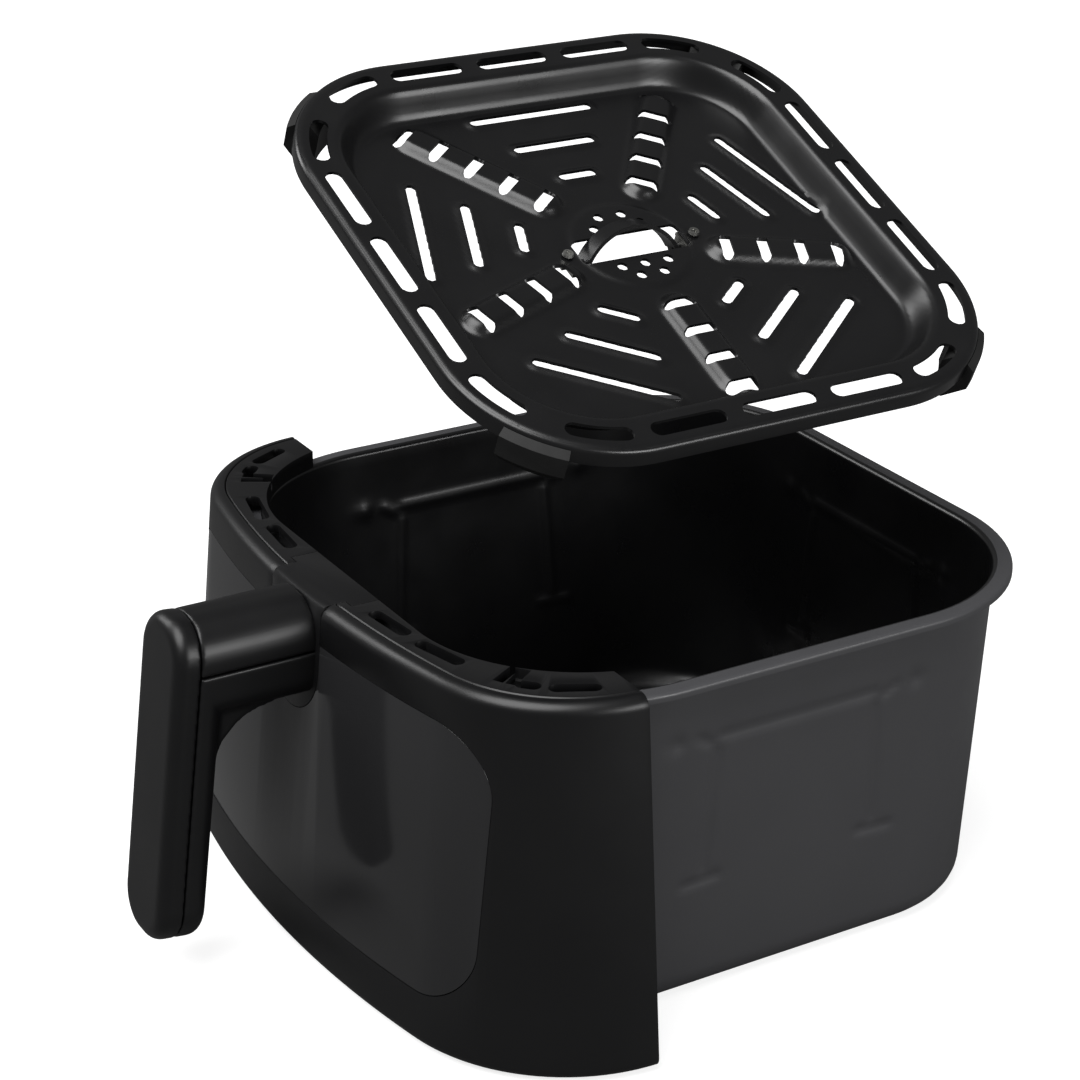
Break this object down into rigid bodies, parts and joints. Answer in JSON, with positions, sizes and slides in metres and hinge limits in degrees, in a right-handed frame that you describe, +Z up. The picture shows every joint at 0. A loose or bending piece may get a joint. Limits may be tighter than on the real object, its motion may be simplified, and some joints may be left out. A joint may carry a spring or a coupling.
{
  "type": "air fryer drawer",
  "caption": "Square coated pan with a curved front panel, smoked window, vented trim and L-shaped handle, and a slotted crisper plate lifted out on its strap.",
  "frame": {"origin": "centre of the underside of the pan's base", "axes": "+Z up, -Y towards the handle, +X to the right seen from the handle"},
  "size_m": [0.2932, 0.3296, 0.2986],
  "materials": {
    "coated_steel": "non-stick coating, satin",
    "satin_plastic": "satin moulded",
    "smoked_pane": "smoked, polished",
    "clear_glass": "clear tempered",
    "silicone": "matt silicone",
    "steel": "zinc plated"
  },
  "bodies": {
    "drawer": {"pan": "coated_steel", "sight_glass": "clear_glass", "sight_seal": "silicone", "sight_frame": "steel", "sight_studs": "steel", "pan_bracket": "steel", "handle_bracket": "steel", "bracket_screws": "steel", "front_shell": "satin_plastic", "window_pane": "smoked_pane", "window_gasket": "silicone", "inner_cover": "satin_plastic", "cover_screws": "steel", "trim_left": "satin_plastic", "trim_right": "satin_plastic", "trim_screws": "steel", "handle_seat": "satin_plastic", "arm_cap": "satin_plastic", "handle_body": "satin_plastic", "grip_cover": "satin_plastic", "cap_screw": "steel", "grip_screws": "steel"},
    "strap": {"lift_strap": "coated_steel"},
    "plate": {"crisper_plate": "coated_steel", "strap_eyes": "steel", "eye_rivets": "steel", "bumper_front_left": "silicone", "bumper_front_right": "silicone", "bumper_back_left": "silicone", "bumper_back_right": "silicone"}
  },
  "joints": [
    {"name": "plate_lift", "type": "slide", "parent": "drawer", "child": "strap", "axis": [0, 0, 1], "range_m": [-0.2357, 0]},
    {"name": "plate_tilt", "type": "hinge", "parent": "strap", "child": "plate", "pos_m": [0, 0, 0.2414], "axis": [0, 1, 0], "range_deg": [-23.6, 0.1]}
  ],
  "couplings": [
    {"joint": "plate_tilt", "follows": "plate_lift", "rad_per_m": 1.74}
  ]
}
